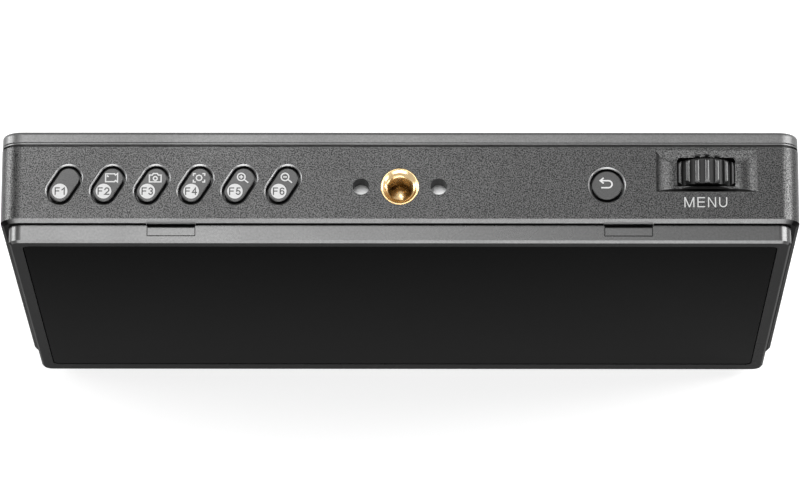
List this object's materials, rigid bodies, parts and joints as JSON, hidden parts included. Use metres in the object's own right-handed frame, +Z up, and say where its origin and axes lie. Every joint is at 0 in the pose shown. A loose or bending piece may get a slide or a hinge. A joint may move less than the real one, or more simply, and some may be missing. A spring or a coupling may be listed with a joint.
{
  "type": "camera field monitor",
  "caption": "Slim metal-cased camera monitor with a black glass front, slanted pill keys, a return key and a menu wheel in a scooped recess on top, and tripod threads.",
  "frame": {"origin": "mouth of the tripod thread in the bottom face", "axes": "+X to the right as seen by someone facing the screen, +Y back from the screen, +Z up"},
  "size_m": [0.184, 0.0327, 0.116],
  "materials": {
    "housing_metal": "fine sandblasted, dark grey anodised",
    "bezel_metal": "smooth, dark grey anodised",
    "cover_metal": "fine sandblasted, dark grey anodised",
    "front_glass": "black-backed, polished",
    "panel_black": "polished",
    "sheet_steel": "plated sheet",
    "board_laminate": "solder mask",
    "chip_black": "moulded",
    "switch_black": "moulded",
    "spreader_metal": "black anodised",
    "insert_brass": "machined",
    "key_plastic": "fine matte, printed legends",
    "wheel_plastic": "satin",
    "yoke_plastic": "moulded",
    "pin_steel": "ground",
    "screw_steel": "black oxide",
    "socket_steel": "plated",
    "socket_black": "moulded",
    "plate_plastic": "fine matte",
    "contact_metal": "gold plated"
  },
  "bodies": {
    "monitor": {"battery_contacts": "contact_metal", "battery_plate": "plate_plastic", "board_chips": "chip_black", "board_screws": "screw_steel", "bottom_thread_insert": "insert_brass", "cover_glass": "front_glass", "cover_screws": "screw_steel", "front_bezel": "bezel_metal", "heat_spreader": "spreader_metal", "key_board": "board_laminate", "key_switches": "switch_black", "lcd_bracket": "sheet_steel", "lcd_panel": "panel_black", "main_board": "board_laminate", "main_housing": "housing_metal", "phones_socket": "socket_black", "plate_screws": "screw_steel", "power_inlet": "socket_black", "power_switch": "switch_black", "rear_cover": "cover_metal", "return_board": "board_laminate", "top_thread_insert": "insert_brass", "usb_socket": "socket_steel", "video_in_socket": "socket_steel", "video_out_socket": "socket_steel", "wheel_bracket": "sheet_steel", "wheel_switch": "switch_black"},
    "key_f1": {"key_f1": "key_plastic"},
    "key_f2": {"key_f2": "key_plastic"},
    "key_f3": {"key_f3": "key_plastic"},
    "key_f4": {"key_f4": "key_plastic"},
    "key_f5": {"key_f5": "key_plastic"},
    "key_f6": {"key_f6": "key_plastic"},
    "return_key": {"return_key": "key_plastic"},
    "wheel_carrier": {"wheel_yoke": "yoke_plastic", "wheel_axle": "pin_steel"},
    "menu_wheel": {"menu_wheel": "wheel_plastic"},
    "power_key": {"power_key": "key_plastic"},
    "battery_latch": {"battery_latch": "plate_plastic"}
  },
  "joints": [
    {"name": "key_f1_press", "type": "slide", "parent": "monitor", "child": "key_f1", "axis": [0, 0, -1], "range_m": [0, 0.0005], "stiffness_N_per_m": 800, "springref_m": -0.0002},
    {"name": "key_f2_press", "type": "slide", "parent": "monitor", "child": "key_f2", "axis": [0, 0, -1], "range_m": [0, 0.0005], "stiffness_N_per_m": 800, "springref_m": -0.0002},
    {"name": "key_f3_press", "type": "slide", "parent": "monitor", "child": "key_f3", "axis": [0, 0, -1], "range_m": [0, 0.0005], "stiffness_N_per_m": 800, "springref_m": -0.0002},
    {"name": "key_f4_press", "type": "slide", "parent": "monitor", "child": "key_f4", "axis": [0, 0, -1], "range_m": [0, 0.0005], "stiffness_N_per_m": 800, "springref_m": -0.0002},
    {"name": "key_f5_press", "type": "slide", "parent": "monitor", "child": "key_f5", "axis": [0, 0, -1], "range_m": [0, 0.0005], "stiffness_N_per_m": 800, "springref_m": -0.0002},
    {"name": "key_f6_press", "type": "slide", "parent": "monitor", "child": "key_f6", "axis": [0, 0, -1], "range_m": [0, 0.0005], "stiffness_N_per_m": 800, "springref_m": -0.0002},
    {"name": "return_key_press", "type": "slide", "parent": "monitor", "child": "return_key", "axis": [0, 0, -1], "range_m": [0, 0.0005], "stiffness_N_per_m": 800, "springref_m": -0.0002},
    {"name": "wheel_press", "type": "slide", "parent": "monitor", "child": "wheel_carrier", "axis": [0, 0, -1], "range_m": [0, 0.0005], "stiffness_N_per_m": 1200, "springref_m": -0.0002},
    {"name": "wheel_turn", "type": "hinge", "parent": "wheel_carrier", "child": "menu_wheel", "pos_m": [0.07055, 0.00415, 0.1073], "axis": [0, 1, 0], "continuous": true},
    {"name": "power_key_press", "type": "slide", "parent": "monitor", "child": "power_key", "axis": [-1, 0, 0], "range_m": [0, 0.0005], "stiffness_N_per_m": 800, "springref_m": -0.0002},
    {"name": "battery_latch_press", "type": "slide", "parent": "monitor", "child": "battery_latch", "axis": [0, -1, 0], "range_m": [0, 0.0022], "stiffness_N_per_m": 500, "springref_m": -0.001}
  ]
}
